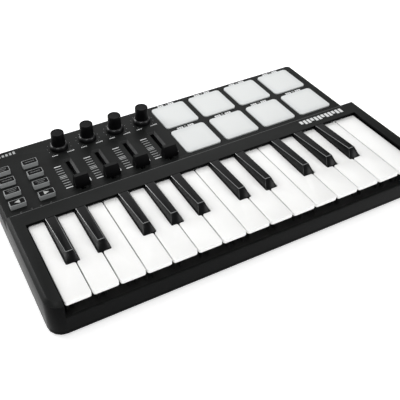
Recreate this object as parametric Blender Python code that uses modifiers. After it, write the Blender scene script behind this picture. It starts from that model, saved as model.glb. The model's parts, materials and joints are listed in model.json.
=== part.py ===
"""A two-octave mini midi keyboard: keys, knobs, faders, pads and buttons in a two-level plastic case.

Sizes are in millimetres and become metres when a mesh is made. X runs along the keys from low
notes to high notes, Y runs from the player to the rear, and Z is up from the table. The origin is
on the table under the middle of the case.
"""
import math

import bmesh
import bpy
from mathutils import Matrix, Vector

MM = 0.001

# ---------------------------------------------------------------- case
CASE_HALF_WIDTH = 162.3
CASE_HALF_DEPTH = 95.2
CASE_UNDERSIDE = 2.0
SPLIT_LEVEL = 6.0
WALL = 2.2
EDGE_CHAMFER = 3.0
FRONT_CORNER = 11.0
REAR_CORNER = 6.0
BEZEL_TOP = 34.2
BEZEL_REAR = -0.4
BEZEL_REAR_CHAMFER = 0.8
PANEL_TOP = 22.9
FRONT_WALL_TOP = 18.2
BASE_CHAMFER = 1.0
POCKET_CEILING = BEZEL_TOP - 3.6
OPENING_HALF_WIDTH = 150.8
OPENING_REAR = -15.0
CHEEK_WALL = 2.0
CHEEK_START = 14.0
GAP = 0.3
BEYOND = 5.0

# ---------------------------------------------------------------- keys
WHITE_PITCH = 20.0
WHITE_COUNT = 15
WHITE_GAP = 1.0
WHITE_FRONT = -93.3
WHITE_REAR = -15.3
WHITE_THICKNESS = 3.1
WHITE_FRONT_CORNER = 1.6
WHITE_REAR_CORNER = 1.2
KEY_TOP = 31.5
NOTE_NAMES = ("c", "d", "e", "f", "g", "a", "b")
SHARP_SHIFTS = {"c": -2.0, "d": 2.0, "f": -2.7, "g": 0.0, "a": 2.6}
NOTCH_FRONT = -62.8
NOTCH_HALF_WIDTH = 5.35
NOTCH_CORNER = 1.2
NOTCH_INNER_CORNER = 0.8
BLACK_HALF_WIDTH = 5.0
BLACK_FRONT = -62.0
BLACK_BOTTOM = 27.0
BLACK_SHOULDER = 30.8
BLACK_CREST_FRONT = -56.4
BLACK_CREST = 37.5
BLACK_CREST_REAR = 34.3
BLACK_CREST_HALF_WIDTH = 2.7
WEB_THICKNESS = 3.0
WHITE_WEB_FRONT = -86.0
BLACK_WEB_FRONT = -58.0
WEB_TOP = 29.4
WHITE_WEB_BOTTOM = 21.5
BLACK_WEB_BOTTOM = 24.4
WEB_STEP = 24.0
WEB_SLOPE = 6.0
PIVOT_Y = -8.8
PIVOT_Z = 25.5
HUB_RADIUS = 3.0
HUB_CORNER = 2.6
WEB_NECK_LOW = WHITE_REAR + 2.3
WEB_NECK_HIGH = WHITE_REAR - 0.5
ROD_RADIUS = 1.25
BORE_RADIUS = 1.6

# ---------------------------------------------------------------- controls on the panel
KNOB_XS = (-93.0, -66.3, -39.6, -12.9)
KNOB_Y = 76.2
KNOB_HEIGHT = 16.0
KNOB_TOP_RADIUS = 5.7
KNOB_FOOT_RADIUS = 6.2
KNOB_TOP_BEVEL = 0.4
SKIRT_TOP = 4.3
SKIRT_BEVEL_RADIUS = 7.2
SKIRT_BEVEL_FOOT = 3.5
SKIRT_RADIUS = 8.0
SHAFT_END = -3.4
SHAFT_RADIUS = 3.0
SHAFT_HOLE_RADIUS = 3.7
FADER_SLOT_Y = 36.6
FADER_TRAVEL = 30.0
FADER_REST_Y = FADER_SLOT_Y - FADER_TRAVEL / 2
SLOT_HALF_WIDTH = 1.7
SLOT_HALF_LENGTH = 19.8
WELL_HALF_WIDTH = 3.6
WELL_HALF_LENGTH = 21.6
WELL_DEPTH = 1.9
WELL_CORNER = 0.6
CAP_HEIGHT = 9.2
STEM_HALF_WIDTH = 0.8
POINTER_HALF_WIDTH = 0.5
POINTER_DEPTH = 0.6
POINTER_START = 1.5
POINTER_END = 8.0
CAP_CLEARANCE = 0.4
CAP_WALL = 1.6
# Outlines of a fader cap: half width, half depth and shift towards the rear.
CAP_BASE = (6.4, 4.1, -0.2)
CAP_CREST = (5.6, 1.8, 1.2)
CAP_CORNER = 0.5
STEM_BOTTOM = 16.4
STEM_HALF_DEPTH = 1.5
PAD_XS = (18.4, 57.3, 96.2, 135.1)
PAD_YS = (71.1, 32.2)
PAD_HALF_SIZE = 16.6
PAD_RISE = 0.8
PAD_CORNER = 3.0
PAD_BEVEL = 0.3
BUTTON_XS = (-147.3, -123.2)
BUTTON_YS = (64.65, 50.1, 35.6, 21.05)
BUTTON_HALF_WIDTH = 6.5
BUTTON_HALF_DEPTH = 3.25
BUTTON_RISE = 3.8
BUTTON_CORNER = 0.5
BUTTON_BEVEL = 0.3
HOLE_CLEARANCE = 0.4
FLANGE = 1.2
FLANGE_BOTTOM = 18.7
FLANGE_TOP = 20.2

# ---------------------------------------------------------------- inside
BOARD_THICKNESS = 1.6
CONTROL_BOARD_BOTTOM = 12.0
# Parts on the control board: half width, half depth and the level of the top.
POTENTIOMETER = (6.0, 6.0, 19.0)
FADER_TRACK = (4.5, 24.0, 18.6)
TRACK_GROOVE_BOTTOM = 15.0
TRACK_GROOVE_HALF_WIDTH = 1.5
PAD_SENSOR = (11.0, 11.0, 17.3)
BUTTON_SWITCH = (3.0, 3.0, 17.4)
PROCESSOR = (5.0, 5.0, 15.0)
CRYSTAL = (3.0, 2.0, 14.6)
PROCESSOR_SPOT = (-105.0, 45.0)
CRYSTAL_SPOT = (-105.0, 25.0)
CONTROL_BOARD_HALF_WIDTH = 158.0
CONTROL_BOARD_YS = (3.0, 90.0)
# The corner of the control board that is cut away for the sockets: its inner X and front Y.
SOCKET_CORNER = (-103.0, 70.0)
CONTACT_BOARD_BOTTOM = 17.0
CONTACT_BOARD_FRONT = -50.0
CONTACT_BOARD_REAR = -28.0
CONTACT_BOARD_HALF_WIDTH = 148.0
FRAME_HALF_WIDTH = 149.8
ROD_HALF_LENGTH = 149.6
FRAME_FRONT = -90.0
FRAME_REAR = -4.2
FRAME_BOTTOM = 9.0
FRAME_TOP = 11.0
BRACKET_XS = (-149.0, -90.0, -10.0, 50.0, 130.0, 148.5)
BRACKET_YS = (-14.0, -4.7)
BRACKET_TOP = 28.8
BRACKET_HALF_THICKNESS = 0.75
STOP_RAIL_YS = (-78.0, -74.0)
STOP_RAIL_TOP = 18.0
GUIDE_YS = (-84.0, -80.0)
GUIDE_TOP = 23.4
GUIDE_CLEARANCE = 0.5
GUIDE_HALF_THICKNESS = 0.8
BOARD_RAIL_INSET = 2.0
STRIP_YS = (-46.0, -32.0)
STRIP_HALF_WIDTH = 147.0
STRIP_THICKNESS = 0.8
DOME_Y = -39.0
DOME_BASE_HALF = 3.0
DOME_TOP_HALF = 1.8
DOME_HEIGHT = 2.4
DOME_SUNK = 0.2
FRAME_POSTS = [(x, y) for x in (-140, -50, 50, 140) for y in (-82, -20)]
BOARD_POSTS = [(x, y) for x in (-145, -50, 50, 145) for y in (10, 64)] + [(-50, 86), (50, 86), (145, 86)]
POST_HALF_WIDTH = 2.5
SUNK = 0.5

# ---------------------------------------------------------------- sockets and feet
USB_X = -140.0
USB_Z = 13.0
USB_HALF_WIDTH = 4.8
USB_HALF_HEIGHT = 1.9
USB_LENGTH = 8.5
USB_WALL = 0.4
USB_OUTER_CORNER = 1.4
USB_INNER_CORNER = 1.0
USB_BACK = 1.5
TONGUE_HALF_WIDTH = 3.3
TONGUE_HALF_THICKNESS = 0.35
TONGUE_SHORT = 1.5
PEDAL_X = -116.0
PEDAL_Z = 14.4
PEDAL_HALF_SIZE = 5.7
PEDAL_BODY_FRONT = 70.6
PEDAL_BODY_REAR = 92.7
COLLAR_RADIUS = 4.7
JACK_BORE_RADIUS = 3.3
JACK_BORE_DEPTH = 20.0
SOCKET_FACE = CASE_HALF_DEPTH - 0.2
FOOT_HALF_LENGTH = 130.0
FOOT_YS = (-78.0, 78.0)
FOOT_HALF_WIDTH = 4.0
FOOT_CORNER = 2.0
FOOT_RECESS = 0.6
SCREW_SPOTS = [(x, y) for x in (-150, 0, 150) for y in (-86, 86)]
SCREW_SINK_RADIUS = 3.0
SCREW_SINK_DEPTH = 1.2
LIP_HEIGHT = 2.0
LIP_THICKNESS = 1.5


# ---------------------------------------------------------------- scene, collections and materials
def clear_scene():
    for item in list(bpy.data.objects):
        bpy.data.objects.remove(item, do_unlink=True)


def make_collection(name):
    collection = bpy.data.collections.new(name)
    bpy.context.scene.collection.children.link(collection)
    return collection


def make_material(name, color, roughness, metallic=0.0):
    material = bpy.data.materials.new(name)
    material.use_nodes = True
    shader = material.node_tree.nodes["Principled BSDF"]
    shader.inputs["Base Color"].default_value = (*color, 1.0)
    shader.inputs["Roughness"].default_value = roughness
    shader.inputs["Metallic"].default_value = metallic
    return material


clear_scene()
PARTS = make_collection("midi_keyboard")
HELPERS = make_collection("cutters_and_operands")

CASE_PLASTIC = make_material("case_plastic", (0.025, 0.026, 0.026), 0.55)
WHITE_PLASTIC = make_material("white_key_plastic", (0.85, 0.85, 0.83), 0.35)
BLACK_PLASTIC = make_material("black_key_plastic", (0.012, 0.012, 0.013), 0.3)
KNOB_PLASTIC = make_material("knob_plastic", (0.01, 0.01, 0.012), 0.35)
PAD_RUBBER = make_material("pad_rubber", (0.75, 0.76, 0.76), 0.5)
BUTTON_RUBBER = make_material("button_rubber", (0.33, 0.34, 0.34), 0.6)
FRAME_PLASTIC = make_material("frame_plastic", (0.01, 0.01, 0.01), 0.6)
BOARD_LAMINATE = make_material("board_laminate", (0.01, 0.12, 0.05), 0.45)
CONTACT_RUBBER = make_material("contact_rubber", (0.2, 0.2, 0.2), 0.7)
STEEL = make_material("steel", (0.6, 0.6, 0.6), 0.3, 1.0)
SOCKET_METAL = make_material("socket_metal", (0.7, 0.7, 0.7), 0.3, 1.0)
SOCKET_PLASTIC = make_material("socket_plastic", (0.01, 0.01, 0.01), 0.4)
FOOT_RUBBER = make_material("foot_rubber", (0.01, 0.01, 0.01), 0.9)


# ---------------------------------------------------------------- meshes
def flat(u, v, w):
    """An outline in X and Y, extruded along Z."""
    return (u, v, w)


def side_on(u, v, w):
    """An outline in Y and Z, extruded along X."""
    return (w, u, v)


def rear_on(u, v, w):
    """An outline in X and Z, extruded along Y."""
    return (u, w, v)


def add_object(name, bm, material=None):
    """The mesh in millimetres becomes an object in metres: a part, or a helper without a material."""
    bmesh.ops.recalc_face_normals(bm, faces=bm.faces)
    bmesh.ops.scale(bm, vec=(MM, MM, MM), verts=bm.verts)
    mesh = bpy.data.meshes.new(name)
    bm.to_mesh(mesh)
    bm.free()
    item = bpy.data.objects.new(name, mesh)
    if material:
        mesh.materials.append(material)
        PARTS.objects.link(item)
    else:
        item.hide_render = True
        item.display_type = "WIRE"
        HELPERS.objects.link(item)
    return item


def rounded_outline(corners, steps=3):
    """The points of an outline whose corners (x, y, radius) are rounded by arcs."""
    points = []
    for index, (x, y, radius) in enumerate(corners):
        here = Vector((x, y))
        if radius == 0:
            points.append(here)
            continue
        before = Vector(corners[index - 1][:2]) - here
        after = Vector(corners[(index + 1) % len(corners)][:2]) - here
        before.normalize()
        after.normalize()
        half_angle = before.angle(after) / 2
        middle = here + (before + after).normalized() * radius / math.sin(half_angle)
        start = here + before * radius / math.tan(half_angle) - middle
        turn = start.angle_signed(here + after * radius / math.tan(half_angle) - middle)
        for step in range(steps + 1):
            angle = -turn * step / steps
            points.append(middle + Matrix.Rotation(angle, 2) @ start)
    return points


def rounded_box_outline(half_x, half_y, radius, steps=3):
    return rounded_outline([(-half_x, -half_y, radius), (half_x, -half_y, radius),
                            (half_x, half_y, radius), (-half_x, half_y, radius)], steps)


def add_loft(bm, sections, place=flat):
    """A solid through outlines with the same number of points: sections are (outline, level)."""
    rings = []
    for outline, level in sections:
        rings.append([bm.verts.new(place(u, v, level)) for u, v in outline])
    bm.faces.new(rings[0])
    bm.faces.new(rings[-1])
    count = len(rings[0])
    for lower, upper in zip(rings, rings[1:]):
        for index in range(count):
            following = (index + 1) % count
            bm.faces.new((lower[index], lower[following], upper[following], upper[index]))


def add_box(bm, x_range, y_range, z_range):
    """A box between two values on each axis."""
    spans = (x_range, y_range, z_range)
    middle = Vector([(low + high) / 2 for low, high in spans])
    size = [high - low for low, high in spans]
    matrix = Matrix.Translation(middle) @ Matrix.Diagonal((*size, 1.0))
    bmesh.ops.create_cube(bm, size=1.0, matrix=matrix)


def add_cylinder(bm, radius, start, end, sides=16):
    """A cylinder between two points."""
    start = Vector(start)
    run = Vector(end) - start
    turn = Vector((0, 0, 1)).rotation_difference(run).to_matrix().to_4x4()
    matrix = Matrix.Translation(start + run / 2) @ turn
    bmesh.ops.create_cone(bm, cap_ends=True, segments=sides, radius1=radius, radius2=radius,
                          depth=run.length, matrix=matrix)


def loft(name, sections, material=None, place=flat):
    bm = bmesh.new()
    add_loft(bm, sections, place)
    return add_object(name, bm, material)


def add_prism(bm, outline, low, high, place=flat):
    """One flat face of any outline, extruded between two levels."""
    face = bm.faces.new([bm.verts.new(place(u, v, low)) for u, v in outline])
    extruded = bmesh.ops.extrude_face_region(bm, geom=[face], use_keep_orig=True)
    lifted = [item for item in extruded["geom"] if isinstance(item, bmesh.types.BMVert)]
    bmesh.ops.translate(bm, verts=lifted, vec=place(0.0, 0.0, high - low))


def prism(name, outline, low, high, material=None, place=flat):
    bm = bmesh.new()
    add_prism(bm, outline, low, high, place)
    return add_object(name, bm, material)


def boxes(name, spans, material=None):
    """One mesh with a box for each (x range, y range, z range)."""
    bm = bmesh.new()
    for span in spans:
        add_box(bm, *span)
    return add_object(name, bm, material)


def combine(item, operand, operation):
    modifier = item.modifiers.new(operation.lower() + "_" + operand.name, "BOOLEAN")
    modifier.operation = operation
    modifier.object = operand
    modifier.solver = "EXACT"


def put_origin(item, point):
    """Moves an object's origin without moving its mesh."""
    origin = Vector(point) * MM
    item.data.transform(Matrix.Translation(-origin))
    item.location = origin


def centred(middle, half):
    return (middle - half, middle + half)


def case_outline(inset):
    """The outline of the whole case, moved inwards."""
    half_x = CASE_HALF_WIDTH - inset
    half_y = CASE_HALF_DEPTH - inset
    front = FRONT_CORNER - inset
    rear = REAR_CORNER - inset
    return rounded_outline([(-half_x, -half_y, front), (half_x, -half_y, front),
                            (half_x, half_y, rear), (-half_x, half_y, rear)], 4)


# ---------------------------------------------------------------- top cover
def bezel_outline(inset, rear_inset):
    """The high part of the case from above, its front corners round, moved inwards."""
    half_x = CASE_HALF_WIDTH - inset
    front = inset - CASE_HALF_DEPTH
    rear = BEZEL_REAR - rear_inset
    corner = FRONT_CORNER - inset
    return rounded_outline([(-half_x, front, corner), (half_x, front, corner),
                            (half_x, rear, 0), (-half_x, rear, 0)], 8)


def keyboard_block():
    """The high front part of the case, solid, chamfered at the front and sides and less at the rear."""
    rear = BEZEL_REAR_CHAMFER
    sections = [(bezel_outline(0, 0), SPLIT_LEVEL),
                (bezel_outline(0, 0), BEZEL_TOP - EDGE_CHAMFER),
                (bezel_outline(EDGE_CHAMFER - rear, 0), BEZEL_TOP - rear),
                (bezel_outline(EDGE_CHAMFER, rear), BEZEL_TOP)]
    return loft("top_cover", sections, CASE_PLASTIC)


def panel_outline(inset):
    """The low part of the case from above, its rear corners round, moved inwards."""
    half_x = CASE_HALF_WIDTH - inset
    front = BEZEL_REAR - BEYOND
    rear = CASE_HALF_DEPTH - inset
    corner = REAR_CORNER - inset
    return rounded_outline([(-half_x, front, 0), (half_x, front, 0),
                            (half_x, rear, corner), (-half_x, rear, corner)], 6)


def panel_block():
    """The low rear part of the case, solid, reaching into the front part."""
    return loft("panel_block", [(panel_outline(0), SPLIT_LEVEL),
                                (panel_outline(0), PANEL_TOP - EDGE_CHAMFER),
                                (panel_outline(EDGE_CHAMFER), PANEL_TOP)])


def case_hollows():
    """The spaces inside the top cover, each a block that overlaps its neighbours."""
    inner_x = CASE_HALF_WIDTH - WALL
    inner_y = CASE_HALF_DEPTH - WALL
    pocket = (OPENING_HALF_WIDTH + CHEEK_WALL, inner_x)
    low = prism("hollow_low", case_outline(WALL), SPLIT_LEVEL - BEYOND, CHEEK_START)
    keys = boxes("hollow_keys", [((-OPENING_HALF_WIDTH, OPENING_HALF_WIDTH),
                                  (-inner_y, BEZEL_REAR - WALL),
                                  (CHEEK_START - 1, BEZEL_TOP - WALL))])
    pockets = boxes("hollow_pockets", [((side * pocket[0], side * pocket[1])[::side],
                                        (-inner_y + FRONT_CORNER / 2, BEZEL_REAR - WALL),
                                        (CHEEK_START - 1, POCKET_CEILING))
                                       for side in (-1, 1)])
    panel = prism("hollow_panel", panel_outline(WALL), CHEEK_START - 1, PANEL_TOP - WALL)
    return (low, keys, pockets, panel)


def key_opening():
    return boxes("key_opening", [((-OPENING_HALF_WIDTH, OPENING_HALF_WIDTH),
                                  (-CASE_HALF_DEPTH - BEYOND, OPENING_REAR),
                                  (FRONT_WALL_TOP, BEZEL_TOP + BEYOND))])


def panel_holes():
    """The straight holes through the panel, in one cutter."""
    levels = (PANEL_TOP - WALL - 1, PANEL_TOP + 1)
    bm = bmesh.new()
    pad_half = PAD_HALF_SIZE + HOLE_CLEARANCE
    pad = rounded_box_outline(pad_half, pad_half, PAD_CORNER)
    button = rounded_box_outline(BUTTON_HALF_WIDTH + HOLE_CLEARANCE,
                                 BUTTON_HALF_DEPTH + HOLE_CLEARANCE, BUTTON_CORNER, 2)
    slot = rounded_box_outline(SLOT_HALF_WIDTH, SLOT_HALF_LENGTH, WELL_CORNER, 2)
    holes = [(pad, x, y) for x in PAD_XS for y in PAD_YS]
    holes += [(button, x, y) for x in BUTTON_XS for y in BUTTON_YS]
    holes += [(slot, x, FADER_SLOT_Y) for x in KNOB_XS]
    for outline, x, y in holes:
        add_prism(bm, [(point[0] + x, point[1] + y) for point in outline], *levels)
    for x in KNOB_XS:
        add_cylinder(bm, SHAFT_HOLE_RADIUS, (x, KNOB_Y, levels[0]), (x, KNOB_Y, levels[1]))
    return add_object("panel_holes", bm)


def fader_wells():
    """Bevelled wells that narrow from the panel's surface to the slots."""
    bm = bmesh.new()
    for x in KNOB_XS:
        sections = []
        for half_x, half_y, level in ((SLOT_HALF_WIDTH, SLOT_HALF_LENGTH, PANEL_TOP - WELL_DEPTH),
                                      (WELL_HALF_WIDTH, WELL_HALF_LENGTH, PANEL_TOP),
                                      (WELL_HALF_WIDTH, WELL_HALF_LENGTH, PANEL_TOP + 1)):
            outline = rounded_box_outline(half_x, half_y, WELL_CORNER, 2)
            sections.append(([(point[0] + x, point[1] + FADER_SLOT_Y) for point in outline], level))
        add_loft(bm, sections)
    return add_object("fader_wells", bm)


def rear_holes():
    """The holes in the rear wall for the USB socket and the pedal socket's collar."""
    bm = bmesh.new()
    outline = rounded_box_outline(USB_HALF_WIDTH + HOLE_CLEARANCE, USB_HALF_HEIGHT + HOLE_CLEARANCE, 1)
    placed = [(point[0] + USB_X, point[1] + USB_Z) for point in outline]
    reach = (CASE_HALF_DEPTH - WALL - 1, CASE_HALF_DEPTH + 1)
    add_prism(bm, placed, *reach, rear_on)
    add_cylinder(bm, COLLAR_RADIUS + HOLE_CLEARANCE, (PEDAL_X, reach[0], PEDAL_Z),
                 (PEDAL_X, reach[1], PEDAL_Z), 20)
    return add_object("rear_holes", bm)


def make_top_cover():
    cover = keyboard_block()
    combine(cover, panel_block(), "UNION")
    for hollow in case_hollows():
        combine(cover, hollow, "DIFFERENCE")
    combine(cover, key_opening(), "DIFFERENCE")
    combine(cover, panel_holes(), "DIFFERENCE")
    combine(cover, fader_wells(), "DIFFERENCE")
    combine(cover, rear_holes(), "DIFFERENCE")


# ---------------------------------------------------------------- bottom cover and feet
def bottom_bosses():
    """Posts that carry the key frame, the control board and the two sockets."""
    floor = CASE_UNDERSIDE + WALL - SUNK
    posts = [(x, y, FRAME_BOTTOM - GAP) for x, y in FRAME_POSTS]
    posts += [(x, y, CONTROL_BOARD_BOTTOM - GAP) for x, y in BOARD_POSTS]
    posts.append((USB_X, SOCKET_FACE - USB_LENGTH / 2 - 1, USB_Z - USB_HALF_HEIGHT - GAP))
    pedal_y = (PEDAL_BODY_FRONT + PEDAL_BODY_REAR) / 2
    posts.append((PEDAL_X, pedal_y, PEDAL_Z - PEDAL_HALF_SIZE - GAP))
    return boxes("bottom_bosses", [(centred(x, POST_HALF_WIDTH), centred(y, POST_HALF_WIDTH),
                                    (floor, top)) for x, y, top in posts])


def bottom_recesses():
    """Shallow recesses for the feet, and blind sinks for the case screws."""
    bm = bmesh.new()
    half_x = FOOT_HALF_LENGTH + GAP
    half_y = FOOT_HALF_WIDTH + GAP
    levels = (CASE_UNDERSIDE - 1, CASE_UNDERSIDE + FOOT_RECESS)
    for y in FOOT_YS:
        add_box(bm, (-half_x, half_x), centred(y, half_y), levels)
    for x, y in SCREW_SPOTS:
        add_cylinder(bm, SCREW_SINK_RADIUS, (x, y, CASE_UNDERSIDE - 1),
                     (x, y, CASE_UNDERSIDE + SCREW_SINK_DEPTH), 12)
    return add_object("bottom_recesses", bm)


def make_bottom_cover():
    rim = SPLIT_LEVEL - GAP
    lip = SPLIT_LEVEL + GAP + LIP_HEIGHT
    outer = WALL + GAP
    inner = outer + LIP_THICKNESS
    cover = loft("bottom_cover", [(case_outline(BASE_CHAMFER), CASE_UNDERSIDE),
                                  (case_outline(0), CASE_UNDERSIDE + BASE_CHAMFER),
                                  (case_outline(0), rim),
                                  (case_outline(outer), rim),
                                  (case_outline(outer), lip),
                                  (case_outline(inner), lip),
                                  (case_outline(inner), CASE_UNDERSIDE + WALL)],
                 CASE_PLASTIC)
    combine(cover, bottom_bosses(), "UNION")
    combine(cover, bottom_recesses(), "DIFFERENCE")


def make_feet():
    for name, y in zip(("foot_strip_front", "foot_strip_rear"), FOOT_YS):
        outline = rounded_box_outline(FOOT_HALF_LENGTH, FOOT_HALF_WIDTH, FOOT_CORNER, 4)
        placed = [(point[0], point[1] + y) for point in outline]
        prism(name, placed, 0.0, CASE_UNDERSIDE + FOOT_RECESS - GAP, FOOT_RUBBER)


# ---------------------------------------------------------------- keys
def note_of(index):
    return NOTE_NAMES[index % len(NOTE_NAMES)]


def white_left(index):
    """The X where a white key's share of the keyboard begins."""
    return (index - WHITE_COUNT / 2) * WHITE_PITCH


def sharp_x(index):
    """The middle of the black key after a white key, or None where there is none."""
    note = note_of(index)
    if note not in SHARP_SHIFTS or not 0 <= index < WHITE_COUNT - 1:
        return None
    return white_left(index + 1) + SHARP_SHIFTS[note]


def tail_range(index):
    """The X range of a white key between its black neighbours."""
    left = white_left(index) + WHITE_GAP / 2
    right = white_left(index + 1) - WHITE_GAP / 2
    if sharp_x(index - 1) is not None:
        left = sharp_x(index - 1) + NOTCH_HALF_WIDTH
    if sharp_x(index) is not None:
        right = sharp_x(index) - NOTCH_HALF_WIDTH
    return left, right


def white_outline(index):
    """A white key from above: rounded corners, and a cut-out beside each black neighbour."""
    left = white_left(index) + WHITE_GAP / 2
    right = white_left(index + 1) - WHITE_GAP / 2
    tail_left, tail_right = tail_range(index)
    corners = [(left, WHITE_FRONT, WHITE_FRONT_CORNER), (right, WHITE_FRONT, WHITE_FRONT_CORNER)]
    if tail_right < right:
        corners += [(right, NOTCH_FRONT, NOTCH_CORNER), (tail_right, NOTCH_FRONT, NOTCH_INNER_CORNER)]
    corners += [(tail_right, WHITE_REAR, WHITE_REAR_CORNER), (tail_left, WHITE_REAR, WHITE_REAR_CORNER)]
    if tail_left > left:
        corners += [(tail_left, NOTCH_FRONT, NOTCH_INNER_CORNER), (left, NOTCH_FRONT, NOTCH_CORNER)]
    return rounded_outline(corners, 2)


def web_outline(front, front_bottom):
    """A key's web from the side, down to its hub round the pivot rod."""
    rear = PIVOT_Y + HUB_RADIUS
    step = front + WEB_STEP
    return rounded_outline([(front, WEB_TOP, 0), (front, front_bottom, 0), (step, front_bottom, 0),
                            (step + WEB_SLOPE, BLACK_WEB_BOTTOM, 0),
                            (rear, PIVOT_Z - HUB_RADIUS, HUB_CORNER),
                            (rear, PIVOT_Z + HUB_RADIUS, HUB_CORNER),
                            (WEB_NECK_LOW, PIVOT_Z + HUB_RADIUS, 0),
                            (WEB_NECK_HIGH, WEB_TOP, 0)], 4)


def make_pivot_bore():
    bm = bmesh.new()
    reach = CASE_HALF_WIDTH
    add_cylinder(bm, BORE_RADIUS, (-reach, PIVOT_Y, PIVOT_Z), (reach, PIVOT_Y, PIVOT_Z), 12)
    return add_object("pivot_bore", bm)


def add_web(key, name, x, outline, bore):
    """Joins the web under a key and bores it for the pivot rod."""
    web = prism(name, outline, x - WEB_THICKNESS / 2, x + WEB_THICKNESS / 2, None, side_on)
    combine(key, web, "UNION")
    combine(key, bore, "DIFFERENCE")
    put_origin(key, (x, PIVOT_Y, PIVOT_Z))


def make_white_keys(bore):
    outline = web_outline(WHITE_WEB_FRONT, WHITE_WEB_BOTTOM)
    for index in range(WHITE_COUNT):
        octave = 1 + index // len(NOTE_NAMES)
        name = f"key_white_{note_of(index)}{octave}"
        key = prism(name, white_outline(index), KEY_TOP - WHITE_THICKNESS, KEY_TOP, WHITE_PLASTIC)
        add_web(key, name + "_web", sum(tail_range(index)) / 2, outline, bore)


def black_key_body(name, x):
    """A block whose sides and front lean in to a crest that falls towards the rear."""
    lean = (BLACK_HALF_WIDTH - BLACK_CREST_HALF_WIDTH) / (BLACK_CREST - BLACK_SHOULDER)
    rear_half = BLACK_HALF_WIDTH - lean * (BLACK_CREST_REAR - BLACK_SHOULDER)
    base = [(x - BLACK_HALF_WIDTH, BLACK_FRONT), (x + BLACK_HALF_WIDTH, BLACK_FRONT),
            (x + BLACK_HALF_WIDTH, WHITE_REAR), (x - BLACK_HALF_WIDTH, WHITE_REAR)]
    crest = [(x - BLACK_CREST_HALF_WIDTH, BLACK_CREST_FRONT),
             (x + BLACK_CREST_HALF_WIDTH, BLACK_CREST_FRONT),
             (x + rear_half, WHITE_REAR), (x - rear_half, WHITE_REAR)]
    bm = bmesh.new()
    add_loft(bm, [(base, BLACK_BOTTOM), (base, BLACK_SHOULDER), (crest, BLACK_CREST)])
    for vert in bm.verts:
        if vert.co.z > BLACK_CREST_REAR and vert.co.y > (BLACK_FRONT + WHITE_REAR) / 2:
            vert.co.z = BLACK_CREST_REAR
    return add_object(name, bm, BLACK_PLASTIC)


def make_black_keys(bore):
    outline = web_outline(BLACK_WEB_FRONT, BLACK_WEB_BOTTOM)
    for index in range(WHITE_COUNT):
        x = sharp_x(index)
        if x is None:
            continue
        octave = 1 + index // len(NOTE_NAMES)
        name = f"key_black_{note_of(index)}_sharp{octave}"
        key = black_key_body(name, x)
        add_web(key, name + "_web", x, outline, bore)


# ---------------------------------------------------------------- key mechanism
def frame_rails():
    """Stop rail, board rails, guide forks and pivot brackets standing on the key frame's plate."""
    foot = FRAME_TOP - SUNK
    reach = (-FRAME_HALF_WIDTH + 2, FRAME_HALF_WIDTH - 2)
    rails = [(reach, STOP_RAIL_YS, (foot, STOP_RAIL_TOP))]
    for y in (CONTACT_BOARD_FRONT + BOARD_RAIL_INSET, CONTACT_BOARD_REAR - BOARD_RAIL_INSET):
        rails.append((reach, centred(y, 1), (foot, CONTACT_BOARD_BOTTOM - GAP)))
    offset = WEB_THICKNESS / 2 + GUIDE_CLEARANCE + GUIDE_HALF_THICKNESS
    for index in range(WHITE_COUNT):
        x = sum(tail_range(index)) / 2
        for side in (-1, 1):
            rails.append((centred(x + side * offset, GUIDE_HALF_THICKNESS), GUIDE_YS, (foot, GUIDE_TOP)))
    for x in BRACKET_XS:
        rails.append((centred(x, BRACKET_HALF_THICKNESS), BRACKET_YS, (foot, BRACKET_TOP)))
    return boxes("frame_rails", rails)


def make_key_frame(bore):
    reach = (-FRAME_HALF_WIDTH, FRAME_HALF_WIDTH)
    frame = boxes("key_frame", [(reach, (FRAME_FRONT, FRAME_REAR), (FRAME_BOTTOM, FRAME_TOP))],
                  FRAME_PLASTIC)
    combine(frame, frame_rails(), "UNION")
    combine(frame, bore, "DIFFERENCE")


def make_pivot_rod():
    bm = bmesh.new()
    add_cylinder(bm, ROD_RADIUS, (-ROD_HALF_LENGTH, PIVOT_Y, PIVOT_Z),
                 (ROD_HALF_LENGTH, PIVOT_Y, PIVOT_Z), 12)
    add_object("key_pivot_rod", bm, STEEL)


def make_contact_board():
    top = CONTACT_BOARD_BOTTOM + BOARD_THICKNESS
    boxes("key_contact_board", [(centred(0, CONTACT_BOARD_HALF_WIDTH),
                                 (CONTACT_BOARD_FRONT, CONTACT_BOARD_REAR),
                                 (CONTACT_BOARD_BOTTOM, top))], BOARD_LAMINATE)


def contact_domes(base_top):
    """A rubber dome under the web of each key."""
    xs = [sum(tail_range(index)) / 2 for index in range(WHITE_COUNT)]
    xs += [sharp_x(index) for index in range(WHITE_COUNT) if sharp_x(index) is not None]
    bm = bmesh.new()
    sections = []
    for half, level in ((DOME_BASE_HALF, base_top - DOME_SUNK),
                        (DOME_TOP_HALF, base_top + DOME_HEIGHT)):
        sections.append((rounded_box_outline(half, half, half / 2, 1), level))
    for x in xs:
        add_loft(bm, [([(point[0] + x, point[1] + DOME_Y) for point in outline], level)
                      for outline, level in sections])
    return add_object("contact_domes", bm)


def make_contact_strip():
    bottom = CONTACT_BOARD_BOTTOM + BOARD_THICKNESS + GAP
    top = bottom + STRIP_THICKNESS
    strip = boxes("key_contact_strip", [(centred(0, STRIP_HALF_WIDTH), STRIP_YS, (bottom, top))],
                  CONTACT_RUBBER)
    combine(strip, contact_domes(top), "UNION")


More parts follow.
